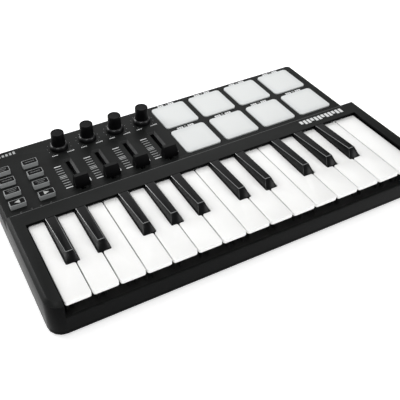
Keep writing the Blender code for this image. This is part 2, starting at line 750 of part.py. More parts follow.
# ---------------------------------------------------------------- control board
def board_components():
    """Potentiometers, fader tracks, pad sensors, switches and chips, sunk a little into the board."""
    foot = CONTROL_BOARD_BOTTOM + BOARD_THICKNESS - SUNK
    kinds = [(POTENTIOMETER, [(x, KNOB_Y) for x in KNOB_XS]),
             (FADER_TRACK, [(x, FADER_SLOT_Y) for x in KNOB_XS]),
             (PAD_SENSOR, [(x, y) for x in PAD_XS for y in PAD_YS]),
             (BUTTON_SWITCH, [(x, y) for x in BUTTON_XS for y in BUTTON_YS]),
             (PROCESSOR, [PROCESSOR_SPOT]),
             (CRYSTAL, [CRYSTAL_SPOT])]
    parts = []
    for (half_x, half_y, top), spots in kinds:
        parts += [(centred(x, half_x), centred(y, half_y), (foot, top)) for x, y in spots]
    return boxes("board_components", parts)


def make_control_board():
    half_x = CONTROL_BOARD_HALF_WIDTH
    front, rear = CONTROL_BOARD_YS
    cut_x, cut_y = SOCKET_CORNER
    outline = [(-half_x, front), (half_x, front), (half_x, rear), (cut_x, rear), (cut_x, cut_y),
               (-half_x, cut_y)]
    board = prism("control_board", outline, CONTROL_BOARD_BOTTOM,
                  CONTROL_BOARD_BOTTOM + BOARD_THICKNESS, BOARD_LAMINATE)
    combine(board, board_components(), "UNION")
    grooves = boxes("track_grooves", [(centred(x, TRACK_GROOVE_HALF_WIDTH),
                                       centred(FADER_SLOT_Y, SLOT_HALF_LENGTH + 1),
                                       (TRACK_GROOVE_BOTTOM, PANEL_TOP)) for x in KNOB_XS])
    combine(board, grooves, "DIFFERENCE")


# ---------------------------------------------------------------- controls
def turned(name, profile, material, steps=24):
    """A turned solid: the profile (radius, height) runs from the top of the axis down to its foot."""
    bm = bmesh.new()
    verts = [bm.verts.new((radius * MM, 0.0, height * MM)) for radius, height in profile]
    for upper, lower in zip(verts, verts[1:]):
        bm.edges.new((upper, lower))
    mesh = bpy.data.meshes.new(name)
    bm.to_mesh(mesh)
    bm.free()
    mesh.materials.append(material)
    item = bpy.data.objects.new(name, mesh)
    PARTS.objects.link(item)
    screw = item.modifiers.new("turn", "SCREW")
    screw.steps = steps
    screw.render_steps = steps
    screw.use_smooth_shade = True
    screw.use_merge_vertices = True
    screw.merge_threshold = 0.00001
    return item


def pointer_groove(x):
    """The groove across a knob's top that shows where it points."""
    top = PANEL_TOP + KNOB_HEIGHT
    return boxes(f"pointer_groove_{x:.0f}", [(centred(x, POINTER_HALF_WIDTH),
                                              (KNOB_Y + POINTER_START, KNOB_Y + POINTER_END),
                                              (top - POINTER_DEPTH, top + 1))])


def make_knobs():
    """Knobs: a tapering grip on a bevelled skirt, with the shaft's end below."""
    profile = [(0, KNOB_HEIGHT), (KNOB_TOP_RADIUS - KNOB_TOP_BEVEL, KNOB_HEIGHT),
               (KNOB_TOP_RADIUS, KNOB_HEIGHT - KNOB_TOP_BEVEL), (KNOB_FOOT_RADIUS, SKIRT_TOP),
               (SKIRT_BEVEL_RADIUS, SKIRT_BEVEL_FOOT), (SKIRT_RADIUS, GAP),
               (SHAFT_RADIUS, GAP), (SHAFT_RADIUS, SHAFT_END), (0, SHAFT_END)]
    for number, x in enumerate(KNOB_XS, 1):
        knob = turned(f"knob_{number}", profile, KNOB_PLASTIC)
        knob.location = (x * MM, KNOB_Y * MM, PANEL_TOP * MM)
        combine(knob, pointer_groove(x), "DIFFERENCE")


def make_fader_caps():
    """Fader caps: a wedge that leans in to a crest nearer its rear, on a stem that reaches the track."""
    foot = PANEL_TOP + CAP_CLEARANCE
    for number, x in enumerate(KNOB_XS, 1):
        sections = []
        for (half_x, half_y, shift), level in ((CAP_BASE, foot), (CAP_BASE, foot + CAP_WALL),
                                               (CAP_CREST, PANEL_TOP + CAP_HEIGHT)):
            outline = rounded_box_outline(half_x, half_y, CAP_CORNER, 1)
            y = FADER_REST_Y + shift
            sections.append(([(point[0] + x, point[1] + y) for point in outline], level))
        name = f"fader_cap_{number}"
        cap = loft(name, sections, KNOB_PLASTIC)
        stem = boxes(name + "_stem", [(centred(x, STEM_HALF_WIDTH),
                                       centred(FADER_REST_Y, STEM_HALF_DEPTH),
                                       (STEM_BOTTOM, foot + CAP_WALL / 2))])
        combine(cap, stem, "UNION")
        put_origin(cap, (x, FADER_REST_Y, PANEL_TOP))


def flanged_key(name, half_x, half_y, corner, rise, bevel, material):
    """A rubber key about its own centre: a flange under the panel and a cap above it."""
    top = PANEL_TOP + rise
    wide = rounded_box_outline(half_x + FLANGE, half_y + FLANGE, corner)
    body = rounded_box_outline(half_x, half_y, corner)
    crest = rounded_box_outline(half_x - bevel, half_y - bevel, corner - bevel)
    return loft(name, [(wide, FLANGE_BOTTOM), (wide, FLANGE_TOP), (body, FLANGE_TOP),
                       (body, top - bevel), (crest, top)], material)


def make_pads():
    number = 0
    for y in PAD_YS:
        for x in PAD_XS:
            number += 1
            pad = flanged_key(f"pad_{number}", PAD_HALF_SIZE, PAD_HALF_SIZE, PAD_CORNER, PAD_RISE,
                              PAD_BEVEL, PAD_RUBBER)
            pad.location = (x * MM, y * MM, 0)


def make_buttons():
    number = 0
    for y in BUTTON_YS:
        for x in BUTTON_XS:
            number += 1
            button = flanged_key(f"button_{number}", BUTTON_HALF_WIDTH, BUTTON_HALF_DEPTH,
                                 BUTTON_CORNER, BUTTON_RISE, BUTTON_BEVEL, BUTTON_RUBBER)
            button.location = (x * MM, y * MM, 0)


# ---------------------------------------------------------------- sockets
def make_usb_socket():
    """A flat metal shell with a plastic tongue, open to the rear."""
    inner_width = USB_HALF_WIDTH - USB_WALL
    inner_height = USB_HALF_HEIGHT - USB_WALL
    front = SOCKET_FACE - USB_LENGTH
    outer = rounded_box_outline(USB_HALF_WIDTH, USB_HALF_HEIGHT, USB_OUTER_CORNER)
    inner = rounded_box_outline(inner_width, inner_height, USB_INNER_CORNER)
    placed = [[(point[0] + USB_X, point[1] + USB_Z) for point in shape] for shape in (outer, inner)]
    socket = prism("usb_socket", placed[0], front, SOCKET_FACE, SOCKET_METAL, rear_on)
    cavity = prism("usb_cavity", placed[1], front + USB_BACK, SOCKET_FACE + 1, None, rear_on)
    tongue = boxes("usb_tongue", [(centred(USB_X, TONGUE_HALF_WIDTH),
                                   (front + USB_BACK - SUNK, SOCKET_FACE - TONGUE_SHORT),
                                   centred(USB_Z, TONGUE_HALF_THICKNESS))])
    combine(socket, cavity, "DIFFERENCE")
    combine(socket, tongue, "UNION")


def make_pedal_socket():
    """A block with a round collar through the rear wall, bored for a 6.35 mm plug."""
    socket = boxes("pedal_socket", [(centred(PEDAL_X, PEDAL_HALF_SIZE),
                                     (PEDAL_BODY_FRONT, PEDAL_BODY_REAR),
                                     centred(PEDAL_Z, PEDAL_HALF_SIZE))], SOCKET_PLASTIC)
    bm = bmesh.new()
    add_cylinder(bm, COLLAR_RADIUS, (PEDAL_X, PEDAL_BODY_REAR - 1, PEDAL_Z),
                 (PEDAL_X, SOCKET_FACE, PEDAL_Z), 20)
    combine(socket, add_object("pedal_collar", bm), "UNION")
    bm = bmesh.new()
    add_cylinder(bm, JACK_BORE_RADIUS, (PEDAL_X, SOCKET_FACE - JACK_BORE_DEPTH, PEDAL_Z),
                 (PEDAL_X, SOCKET_FACE + 1, PEDAL_Z), 16)
    combine(socket, add_object("pedal_bore", bm), "DIFFERENCE")


def main():
    bore = make_pivot_bore()
    make_top_cover()
    make_bottom_cover()
    make_feet()
    make_white_keys(bore)
    make_black_keys(bore)
    make_key_frame(bore)
    make_pivot_rod()
    make_contact_board()
    make_contact_strip()
    make_control_board()
    make_knobs()
    make_fader_caps()
    make_pads()
    make_buttons()
    make_usb_socket()
    make_pedal_socket()


main()
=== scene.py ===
"""A detailed mini midi keyboard round its CAD frame: materials, smooth controls, print and screws.

Sizes and places are in millimetres in the part's frame and become metres when a mesh is made.
Places come from the frame's joints and boxes.
"""
import json
import math

import bmesh
import bpy
from mathutils import Matrix, Vector


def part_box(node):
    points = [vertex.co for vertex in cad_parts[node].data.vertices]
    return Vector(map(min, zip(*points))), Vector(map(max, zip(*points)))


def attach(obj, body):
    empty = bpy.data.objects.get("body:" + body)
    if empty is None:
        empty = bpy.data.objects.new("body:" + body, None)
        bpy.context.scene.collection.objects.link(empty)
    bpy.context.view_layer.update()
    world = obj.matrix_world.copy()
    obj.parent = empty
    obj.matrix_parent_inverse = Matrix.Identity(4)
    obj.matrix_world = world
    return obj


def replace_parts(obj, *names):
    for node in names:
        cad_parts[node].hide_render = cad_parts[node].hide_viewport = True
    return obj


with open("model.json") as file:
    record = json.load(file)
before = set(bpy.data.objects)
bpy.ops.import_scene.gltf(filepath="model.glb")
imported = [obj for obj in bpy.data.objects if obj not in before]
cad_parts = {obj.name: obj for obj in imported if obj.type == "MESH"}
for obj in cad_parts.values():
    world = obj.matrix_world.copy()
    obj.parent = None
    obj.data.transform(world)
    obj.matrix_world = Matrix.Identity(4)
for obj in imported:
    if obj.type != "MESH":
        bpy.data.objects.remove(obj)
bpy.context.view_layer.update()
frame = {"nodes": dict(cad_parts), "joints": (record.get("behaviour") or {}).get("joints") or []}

MM = 0.001
CASE = "case"


# ---------------------------------------------------------------- places read from the frame
def joint_place(name):
    """A joint's point in millimetres."""
    for joint in frame["joints"]:
        if joint["name"] == name:
            return Vector(joint["pos_m"]) / MM
    raise KeyError(name)


def box_mm(node):
    low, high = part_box(node)
    return low / MM, high / MM


def numbered(stem, count):
    return [f"{stem}_{number}" for number in range(1, count + 1)]


KNOBS = numbered("knob", 4)
CAPS = numbered("fader_cap", 4)
PADS = numbered("pad", 8)
BUTTONS = numbered("button", 8)
WHITE_KEYS = sorted(name for name in frame["nodes"] if name.startswith("key_white"))
BLACK_KEYS = sorted(name for name in frame["nodes"] if name.startswith("key_black"))
PANEL_TOP = joint_place("press_pad_1").z
COVER_LOW, COVER_HIGH = box_mm("top_cover")
BEZEL_TOP = COVER_HIGH.z
BASE_LOW = box_mm("bottom_cover")[0]
PAD_RISE = box_mm("pad_1")[1].z - PANEL_TOP
BUTTON_RISE = box_mm("button_1")[1].z - PANEL_TOP
FADER_TRAVEL = 30.0

# ---------------------------------------------------------------- sizes of the detail
EDGE_ROUND = 0.2
WHITE_KEY_ROUND = 0.45
BLACK_KEY_ROUND = 0.28
WELD_GAP = 0.01
FLAT_WITHIN_DEGREES = 1.0
BEVEL_FROM_DEGREES = 32
PRINT_SUNK = 0.02
PRINT_PROUD = 0.03
KNOB_TOP_RADIUS = 5.75
KNOB_FOOT_RADIUS = 6.2
SKIRT_RADIUS = 8.0
COLLAR_RADIUS = 7.3
COLLAR_LEVELS = (3.2, 4.3)
# Half width, half depth, shift along Y and height of each level of a fader cap.
CAP_LEVELS = (
    (6.3, 4.0, -0.2, 0.4), (6.4, 4.1, -0.2, 0.5), (6.4, 4.1, -0.2, 2.0), (6.25, 3.45, 0.15, 4.4),
    (6.0, 2.7, 0.65, 6.8), (5.7, 1.9, 1.2, 9.1), (5.6, 1.8, 1.2, 9.2),
)
PAD_HALF = 16.6
PAD_CORNER = 3.0
BUTTON_HALF = (6.5, 3.25)
DOT_ARC_RADIUS = 10.4
DOT_COUNT = 11
DOT_SWEEP = 270.0
WELL_RIM = (3.58, 21.58)
WELL_FOOT = (1.72, 19.82)
WELL_DEPTH = 1.86
WELL_CORNER = 0.6
WELL_HIGHLIGHT_THICKNESS = 0.04
BEZEL_HIGHLIGHT_HALF_LENGTH = 158.5
BEZEL_HIGHLIGHT_REAR = -1.25
BEZEL_HIGHLIGHT_WIDTH = 0.35
BEZEL_HIGHLIGHT_SUNK = 0.05
BEZEL_HIGHLIGHT_PROUD = 0.03
WELL_MIDDLE = FADER_TRAVEL / 2
SCALE_OFFSET = -10.6
SCALE_STEPS = (0.0, 1.8, 5.0, 8.2, 11.4, 14.6)
LED_OFFSETS = (0.0, 8.7, 16.5, 24.5)
LED_Y = 12.2
SCREW_PROFILE = [(0.0, 1.1), (2.6, 1.1), (2.6, 0.8), (2.2, 0.45), (1.2, 0.25), (0.9, 0.3), (0.0, 0.9)]
SCREW_SPOTS = [(x, y) for x in (-150.0, 0.0, 150.0) for y in (-86.0, 86.0)]


# ---------------------------------------------------------------- painted shade and highlights, and finish, of the case and black keys
# How far a face points upward, from 0 on a wall to 1 on a level top, decides its gloss, its painted shade
# on the case and its painted highlight on the black keys' edges.
CASE_SHADE_AND_FINISH_TURNS = (0.2, 0.6)
KEY_HIGHLIGHT_TURNS = (0.62, 0.7)
WALL_AND_TOP_ROUGHNESS = (0.25, 0.42)
# Upright faces of the case are coloured darker than its tops: painted shade.
CASE_WALL_SHADE_COLOR = (0.0020, 0.0022, 0.0023)
CASE_WALL_SPECULAR = 0.04
CASE_TOP_SPECULAR = 0.11
KEY_CORNER_SPECULAR = 0.13
KEY_EDGE_SPECULAR = 0.5


# ---------------------------------------------------------------- materials
def start_material(name, color, roughness, metallic=0.0, specular=0.5):
    material = bpy.data.materials.new(name)
    material.use_nodes = True
    shader = material.node_tree.nodes["Principled BSDF"]
    shader.inputs["Base Color"].default_value = (*color, 1.0)
    shader.inputs["Roughness"].default_value = roughness
    shader.inputs["Metallic"].default_value = metallic
    shader.inputs["Specular IOR Level"].default_value = specular
    return material


def shader_of(material):
    return material.node_tree.nodes["Principled BSDF"]


def object_point(material, stretch=(1.0, 1.0, 1.0)):
    """Object coordinates, stretched for a direction of grain."""
    tree = material.node_tree
    place = tree.nodes.new("ShaderNodeTexCoord")
    mapping = tree.nodes.new("ShaderNodeMapping")
    mapping.inputs["Scale"].default_value = stretch
    tree.links.new(place.outputs["Object"], mapping.inputs["Vector"])
    return mapping.outputs["Vector"]


def noise(material, size_mm, detail=3.0, stretch=(1.0, 1.0, 1.0)):
    """Noise from 0 to 1 whose features are about size_mm across."""
    tree = material.node_tree
    texture = tree.nodes.new("ShaderNodeTexNoise")
    texture.inputs["Scale"].default_value = 1.0 / (size_mm * MM)
    texture.inputs["Detail"].default_value = detail
    tree.links.new(object_point(material, stretch), texture.inputs["Vector"])
    return texture.outputs["Fac"]


def spread(material, value, low, high, start=0.3, end=0.7):
    """Maps a value between start and end to low and high."""
    tree = material.node_tree
    mapping = tree.nodes.new("ShaderNodeMapRange")
    mapping.inputs["From Min"].default_value = start
    mapping.inputs["From Max"].default_value = end
    mapping.inputs["To Min"].default_value = low
    mapping.inputs["To Max"].default_value = high
    tree.links.new(value, mapping.inputs["Value"])
    return mapping.outputs["Result"]


def edge_mask(material, width_mm):
    """Near 1 along outer edges, 0 elsewhere: the surface against its rounded normal."""
    tree = material.node_tree
    rounded = tree.nodes.new("ShaderNodeBevel")
    rounded.samples = 4
    rounded.inputs["Radius"].default_value = width_mm * MM
    geometry = tree.nodes.new("ShaderNodeNewGeometry")
    alike = tree.nodes.new("ShaderNodeVectorMath")
    alike.operation = "DOT_PRODUCT"
    tree.links.new(rounded.outputs["Normal"], alike.inputs[0])
    tree.links.new(geometry.outputs["Normal"], alike.inputs[1])
    return spread(material, alike.outputs["Value"], 1.0, 0.0, 0.75, 0.98)


def mix_color(material, factor, first, second):
    """Colours the surface from first to second by a factor; each is a colour or a socket."""
    tree = material.node_tree
    mix = tree.nodes.new("ShaderNodeMix")
    mix.data_type = "RGBA"
    tree.links.new(factor, mix.inputs["Factor"])
    for socket, color in ((mix.inputs["A"], first), (mix.inputs["B"], second)):
        if isinstance(color, tuple):
            socket.default_value = (*color, 1.0)
        else:
            tree.links.new(color, socket)
    tree.links.new(mix.outputs["Result"], shader_of(material).inputs["Base Color"])
    return mix.outputs["Result"]


def vary_roughness(material, value, low, high):
    result = spread(material, value, low, high)
    material.node_tree.links.new(result, shader_of(material).inputs["Roughness"])


def add_bump(material, height, distance_mm, strength=1.0):
    tree = material.node_tree
    bump = tree.nodes.new("ShaderNodeBump")
    bump.inputs["Strength"].default_value = strength
    bump.inputs["Distance"].default_value = distance_mm * MM
    tree.links.new(height, bump.inputs["Height"])
    tree.links.new(bump.outputs["Normal"], shader_of(material).inputs["Normal"])


def facing_up(material):
    """The upward part of each face's direction: 0 on a wall, 1 on a level top."""
    tree = material.node_tree
    geometry = tree.nodes.new("ShaderNodeNewGeometry")
    split = tree.nodes.new("ShaderNodeSeparateXYZ")
    tree.links.new(geometry.outputs["True Normal"], split.inputs["Vector"])
    return split.outputs["Z"]


def dark_walls(material, tone, wall_shade_color, top_specular, wall_specular):
    """Upright faces get a painted shade, darker than faces that look up, and a smoother finish; gives the
    roughness.
    """
    tree = material.node_tree
    upward = facing_up(material)
    shine = spread(material, upward, wall_specular, top_specular, *CASE_SHADE_AND_FINISH_TURNS)
    tree.links.new(shine, shader_of(material).inputs["Specular IOR Level"])
    # Painted shade: upright faces are coloured darker than the tops.
    mix_color(material, spread(material, upward, 0.0, 1.0, *CASE_SHADE_AND_FINISH_TURNS), wall_shade_color, tone)
    return spread(material, upward, *WALL_AND_TOP_ROUGHNESS, *CASE_SHADE_AND_FINISH_TURNS)


def moulded_plastic(name, color, roughness, grain_mm, relief_mm, specular=0.5, wear_and_sheen=0.0):
    """Plastic from a mould: fine grain, soft patches in tone and gloss, and paler edges, partly wear and
    partly painted highlight.
    """
    material = start_material(name, color, roughness, specular=specular)
    patches = noise(material, 18.0, 4.0)
    darker = tuple(0.82 * channel for channel in color)
    lighter = tuple(min(1.0, 1.15 * channel + 0.001) for channel in color)
    tone = mix_color(material, spread(material, patches, 0.0, 1.0), darker, lighter)
    # Paler edges: partly wear, partly a painted highlight of the light edges catch.
    if wear_and_sheen:
        worn_and_lit = tuple(min(1.0, channel + wear_and_sheen) for channel in color)
        mix_color(material, edge_mask(material, 0.6), tone, worn_and_lit)
    vary_roughness(material, noise(material, 6.0, 5.0), roughness - 0.06, roughness + 0.08)
    add_bump(material, noise(material, grain_mm, 2.0), relief_mm)
    return material


def case_plastic(name):
    """Satin black on top. Darker, smoother walls copy how the light falls, not a second plastic."""
    material = start_material(name, (0.0075, 0.0082, 0.0079), 0.42)
    patches = spread(material, noise(material, 18.0, 4.0), 0.0, 1.0)
    tone = mix_color(material, patches, (0.0068, 0.0074, 0.0072), (0.0086, 0.0093, 0.0090))
    finish = dark_walls(material, tone, CASE_WALL_SHADE_COLOR, CASE_TOP_SPECULAR, CASE_WALL_SPECULAR)
    handled = spread(material, noise(material, 6.0, 5.0), -0.01, 0.015)
    total = material.node_tree.nodes.new("ShaderNodeMath")
    material.node_tree.links.new(finish, total.inputs[0])
    material.node_tree.links.new(handled, total.inputs[1])
    material.node_tree.links.new(total.outputs["Value"], shader_of(material).inputs["Roughness"])
    add_bump(material, noise(material, 0.35, 2.0), 0.02)
    return material


def glossy_key(name, color, roughness, specular=0.5, coat=0.25, scatter=0.0):
    """Polished key plastic with fine playing scratches along the keys."""
    material = start_material(name, color, roughness, specular=specular)
    shader_of(material).inputs["Coat Weight"].default_value = coat
    shader_of(material).inputs["Coat Roughness"].default_value = 0.12
    shader_of(material).inputs["Subsurface Weight"].default_value = scatter
    shader_of(material).inputs["Subsurface Radius"].default_value = (0.002, 0.002, 0.0019)
    shader_of(material).inputs["Subsurface Scale"].default_value = 1.0
    handled = noise(material, 14.0, 4.0)
    darker = tuple(0.965 * channel for channel in color)
    mix_color(material, spread(material, handled, 0.0, 1.0), darker, color)
    scratches = noise(material, 1.2, 5.0, (1.0, 0.08, 1.0))
    vary_roughness(material, scratches, roughness - 0.03, roughness + 0.06)
    add_bump(material, scratches, 0.002)
    return material


def key_edge(name, color, upright_color):
    """Painted highlight on the edges of the black keys: pale along the top as if lit, and dull down the
    corners.
    """
    material = glossy_key(name, color, 0.20, specular=KEY_EDGE_SPECULAR, coat=0.0)
    upward = facing_up(material)
    mix_color(material, spread(material, upward, 0.0, 1.0, *KEY_HIGHLIGHT_TURNS), upright_color, color)
    shine = spread(material, upward, KEY_CORNER_SPECULAR, KEY_EDGE_SPECULAR, *KEY_HIGHLIGHT_TURNS)
    material.node_tree.links.new(shine, shader_of(material).inputs["Specular IOR Level"])
    return material


def translucent_pad(name):
    """Milky silicone, a little greyer towards its rim, with a dusty bloom."""
    material = start_material(name, (0.72, 0.735, 0.73), 0.42)
    shader = shader_of(material)
    shader.inputs["Subsurface Weight"].default_value = 0.35
    shader.inputs["Subsurface Radius"].default_value = (0.004, 0.004, 0.0038)
    shader.inputs["Subsurface Scale"].default_value = 0.6
    tree = material.node_tree
    place = tree.nodes.new("ShaderNodeTexCoord")
    split = tree.nodes.new("ShaderNodeSeparateXYZ")
    tree.links.new(place.outputs["Object"], split.inputs["Vector"])
    sides = []
    for axis in ("X", "Y"):
        size = tree.nodes.new("ShaderNodeMath")
        size.operation = "ABSOLUTE"
        tree.links.new(split.outputs[axis], size.inputs[0])
        sides.append(size.outputs["Value"])
    furthest = tree.nodes.new("ShaderNodeMath")
    furthest.operation = "MAXIMUM"
    tree.links.new(sides[0], furthest.inputs[0])
    tree.links.new(sides[1], furthest.inputs[1])
    rim = spread(material, furthest.outputs["Value"], 0.0, 1.0, 0.011, 0.0165)
    mix_color(material, rim, (0.705, 0.72, 0.715), (0.63, 0.65, 0.65))
    vary_roughness(material, noise(material, 5.0, 4.0), 0.36, 0.5)
    add_bump(material, noise(material, 0.35, 2.0), 0.006)
    return material


def soft_rubber(name, color, roughness):
    material = start_material(name, color, roughness, specular=0.35)
    dust = noise(material, 3.0, 6.0)
    darker = tuple(0.88 * channel for channel in color)
    mix_color(material, spread(material, dust, 0.0, 1.0), darker, color)
    vary_roughness(material, dust, roughness - 0.08, roughness + 0.06)
    add_bump(material, noise(material, 0.25, 3.0), 0.01)
    return material


def printed_ink(name, color, specular=0.5):
    material = start_material(name, color, 0.55, specular=specular)
    screen = noise(material, 0.25, 2.0)
    thin = tuple(0.8 * channel for channel in color)
    mix_color(material, spread(material, screen, 0.0, 1.0), thin, color)
    vary_roughness(material, screen, 0.48, 0.62)
    return material


def drawn_metal(name, color, roughness, stretch):
    material = start_material(name, color, roughness, metallic=1.0)
    lines = noise(material, 0.3, 4.0, stretch)
    darker = tuple(0.85 * channel for channel in color)
    mix_color(material, spread(material, lines, 0.0, 1.0), darker, color)
    vary_roughness(material, lines, roughness - 0.08, roughness + 0.1)
    add_bump(material, lines, 0.003)
    return material


def circuit_board(name, mask, over_copper):
    """Solder mask over a faint pattern of copper tracks."""
    material = start_material(name, mask, 0.4)
    tree = material.node_tree
    cells = tree.nodes.new("ShaderNodeTexVoronoi")
    cells.distance = "MANHATTAN"
    cells.feature = "DISTANCE_TO_EDGE"
    cells.inputs["Scale"].default_value = 1.0 / (6.0 * MM)
    tree.links.new(object_point(material), cells.inputs["Vector"])
    tracks = spread(material, cells.outputs["Distance"], 1.0, 0.0, 0.02, 0.06)
    mix_color(material, tracks, mask, over_copper)
    vary_roughness(material, noise(material, 4.0), 0.34, 0.46)
    add_bump(material, tracks, 0.03)
    return material


CASE_PLASTIC = case_plastic("case_plastic")
# The case's bevelled edges get a paler colour: a painted highlight for the light they catch.
CASE_EDGE_HIGHLIGHT = moulded_plastic("case_edge_highlight", (0.030, 0.031, 0.031), 0.35, 0.35, 0.01, specular=0.3)
# Paler film on the fader well slopes: a painted highlight.
WELL_HIGHLIGHT = moulded_plastic("well_highlight", (0.019, 0.020, 0.020), 0.45, 0.35, 0.01, specular=0.2)
# Paler strip along the bezel's rear edge: a painted highlight.
BEZEL_HIGHLIGHT = moulded_plastic("bezel_highlight", (0.10, 0.102, 0.102), 0.4, 0.35, 0.01, specular=0.3)
WHITE_KEY = glossy_key("white_key_plastic", (0.87, 0.87, 0.86), 0.34, scatter=0.3)
BLACK_KEY = glossy_key("black_key_plastic", (0.0030, 0.0032, 0.0035), 0.30, specular=0.13, coat=0.0)
# Black key edges: a pale painted highlight along their tops.
BLACK_KEY_EDGE_HIGHLIGHT = key_edge("black_key_edge_highlight", (0.20, 0.205, 0.205), (0.006, 0.006, 0.006))
KNOB_PLASTIC = moulded_plastic("knob_plastic", (0.0020, 0.0020, 0.0024), 0.45, 0.25, 0.012, specular=0.10)
# The collar's colour, paler than the grip, is partly a painted highlight on its glossy bevel.
COLLAR_SHEEN_PLASTIC = moulded_plastic("knob_collar_sheen_plastic", (0.014, 0.014, 0.015), 0.25, 0.4, 0.004,
                                specular=0.42)
CAP_PLASTIC = moulded_plastic("cap_plastic", (0.0022, 0.0022, 0.0025), 0.5, 0.3, 0.015, specular=0.06)
# Grey line on the fader caps' crests, also a painted highlight on their lit tops; the knobs' pointers use
# it too.
CAP_LINE_AND_SHEEN = printed_ink("cap_line", (0.016, 0.0165, 0.0165), 0.1)
PAD_SILICONE = translucent_pad("pad_silicone")
BUTTON_RUBBER = soft_rubber("button_rubber", (0.30, 0.31, 0.31), 0.55)
BUTTON_INK = printed_ink("button_ink", (0.005, 0.005, 0.005), 0.06)
LEGEND_INK = printed_ink("legend_ink", (0.17, 0.175, 0.175), 0.2)
ARROW_INK = printed_ink("arrow_ink", (0.42, 0.43, 0.42))
WHITE_INK = printed_ink("white_ink", (0.72, 0.73, 0.73))
GREY_INK = printed_ink("grey_ink", (0.40, 0.41, 0.41))
LENS = moulded_plastic("indicator_lens", (0.035, 0.035, 0.035), 0.3, 1.0, 0.002, specular=0.3)
FRAME_PLASTIC = moulded_plastic("frame_plastic", (0.008, 0.008, 0.008), 0.6, 0.6, 0.03)
KEY_BOARD = circuit_board("key_board_laminate", (0.008, 0.09, 0.04), (0.03, 0.2, 0.08))
PANEL_BOARD = circuit_board("panel_board_laminate", (0.003, 0.003, 0.004), (0.006, 0.006, 0.007))
CONTACT_RUBBER = soft_rubber("contact_rubber", (0.2, 0.2, 0.2), 0.7)
ROD_STEEL = drawn_metal("rod_steel", (0.58, 0.58, 0.57), 0.3, (0.02, 1.0, 1.0))
SOCKET_METAL = drawn_metal("socket_metal", (0.68, 0.68, 0.67), 0.28, (1.0, 0.05, 1.0))
SOCKET_PLASTIC = moulded_plastic("socket_plastic", (0.010, 0.010, 0.010), 0.4, 0.4, 0.01, wear_and_sheen=0.01)
FOOT_RUBBER = soft_rubber("foot_rubber", (0.012, 0.012, 0.012), 0.85)
SCREW_STEEL = drawn_metal("screw_steel", (0.12, 0.12, 0.12), 0.35, (1.0, 1.0, 1.0))


# ---------------------------------------------------------------- CAD nodes kept as they are
def make_smoother(limit_degrees):
    """A node group that shades a mesh smooth except across edges sharper than the limit."""
    group = bpy.data.node_groups.new("smooth_by_angle", "GeometryNodeTree")
    group.interface.new_socket("Geometry", in_out="INPUT", socket_type="NodeSocketGeometry")
    group.interface.new_socket("Geometry", in_out="OUTPUT", socket_type="NodeSocketGeometry")
    start = group.nodes.new("NodeGroupInput")
    end = group.nodes.new("NodeGroupOutput")
    smooth_faces = group.nodes.new("GeometryNodeSetShadeSmooth")
    sharp_edges = group.nodes.new("GeometryNodeSetShadeSmooth")
    sharp_edges.domain = "EDGE"
    sharp_edges.inputs["Shade Smooth"].default_value = False
    angle = group.nodes.new("GeometryNodeInputMeshEdgeAngle")
    over = group.nodes.new("FunctionNodeCompare")
    over.operation = "GREATER_THAN"
    over.inputs["B"].default_value = math.radians(limit_degrees)
    group.links.new(angle.outputs["Unsigned Angle"], over.inputs["A"])
    group.links.new(over.outputs["Result"], sharp_edges.inputs["Selection"])
    group.links.new(start.outputs["Geometry"], smooth_faces.inputs["Geometry"])
    group.links.new(smooth_faces.outputs["Geometry"], sharp_edges.inputs["Geometry"])
    group.links.new(sharp_edges.outputs["Geometry"], end.inputs["Geometry"])
    return group


SMOOTHER = make_smoother(32)


def dress(node, material, round_mm=0.0, segments=2, edge_material=None, clamp=True):
    """Gives a CAD node its material, and bevels its edges, which may have a material of their own."""
    item = frame["nodes"][node]
    item.data.materials.clear()
    item.data.materials.append(material)
    if edge_material:
        item.data.materials.append(edge_material)
    if not round_mm:
        return
    weld = item.modifiers.new("weld", "WELD")
    weld.merge_threshold = WELD_GAP * MM
    merge_flat = item.modifiers.new("merge_flat", "DECIMATE")
    merge_flat.decimate_type = "DISSOLVE"
    merge_flat.angle_limit = math.radians(FLAT_WITHIN_DEGREES)
    bevel = item.modifiers.new("round_edges", "BEVEL")
    bevel.width = round_mm * MM
    bevel.segments = segments
    bevel.material = 1 if edge_material else -1
    bevel.limit_method = "ANGLE"
    bevel.angle_limit = math.radians(BEVEL_FROM_DEGREES)
    bevel.use_clamp_overlap = clamp
    smooth = item.modifiers.new("smooth", "NODES")
    smooth.node_group = SMOOTHER


def dress_frame_nodes():
    dress("top_cover", CASE_PLASTIC, EDGE_ROUND, 1, CASE_EDGE_HIGHLIGHT)
    dress("bottom_cover", CASE_PLASTIC, 0.25)
    dress("foot_strip_front", FOOT_RUBBER, 0.3)
    dress("foot_strip_rear", FOOT_RUBBER, 0.3)
    dress("key_frame", FRAME_PLASTIC)
    dress("key_pivot_rod", ROD_STEEL)
    dress("key_contact_board", KEY_BOARD)
    dress("key_contact_strip", CONTACT_RUBBER)
    dress("control_board", PANEL_BOARD)
    dress("usb_socket", SOCKET_METAL, 0.1)
    dress("pedal_socket", SOCKET_PLASTIC, 0.25)
    for node in WHITE_KEYS:
        dress(node, WHITE_KEY, WHITE_KEY_ROUND, 3)
    for node in BLACK_KEYS:
        dress(node, BLACK_KEY, BLACK_KEY_ROUND, 1, BLACK_KEY_EDGE_HIGHLIGHT, clamp=False)


# ---------------------------------------------------------------- meshes
def rounded_rectangle(half_x, half_y, radius, steps=8):
    """The points of a rectangle with round corners, anticlockwise."""
    points = []
    corners = ((1, 1, 0), (-1, 1, 90), (-1, -1, 180), (1, -1, 270))
    for side_x, side_y, start in corners:
        for step in range(steps + 1):
            angle = math.radians(start + 90 * step / steps)
            points.append((side_x * (half_x - radius) + radius * math.cos(angle),
                           side_y * (half_y - radius) + radius * math.sin(angle)))
    return points


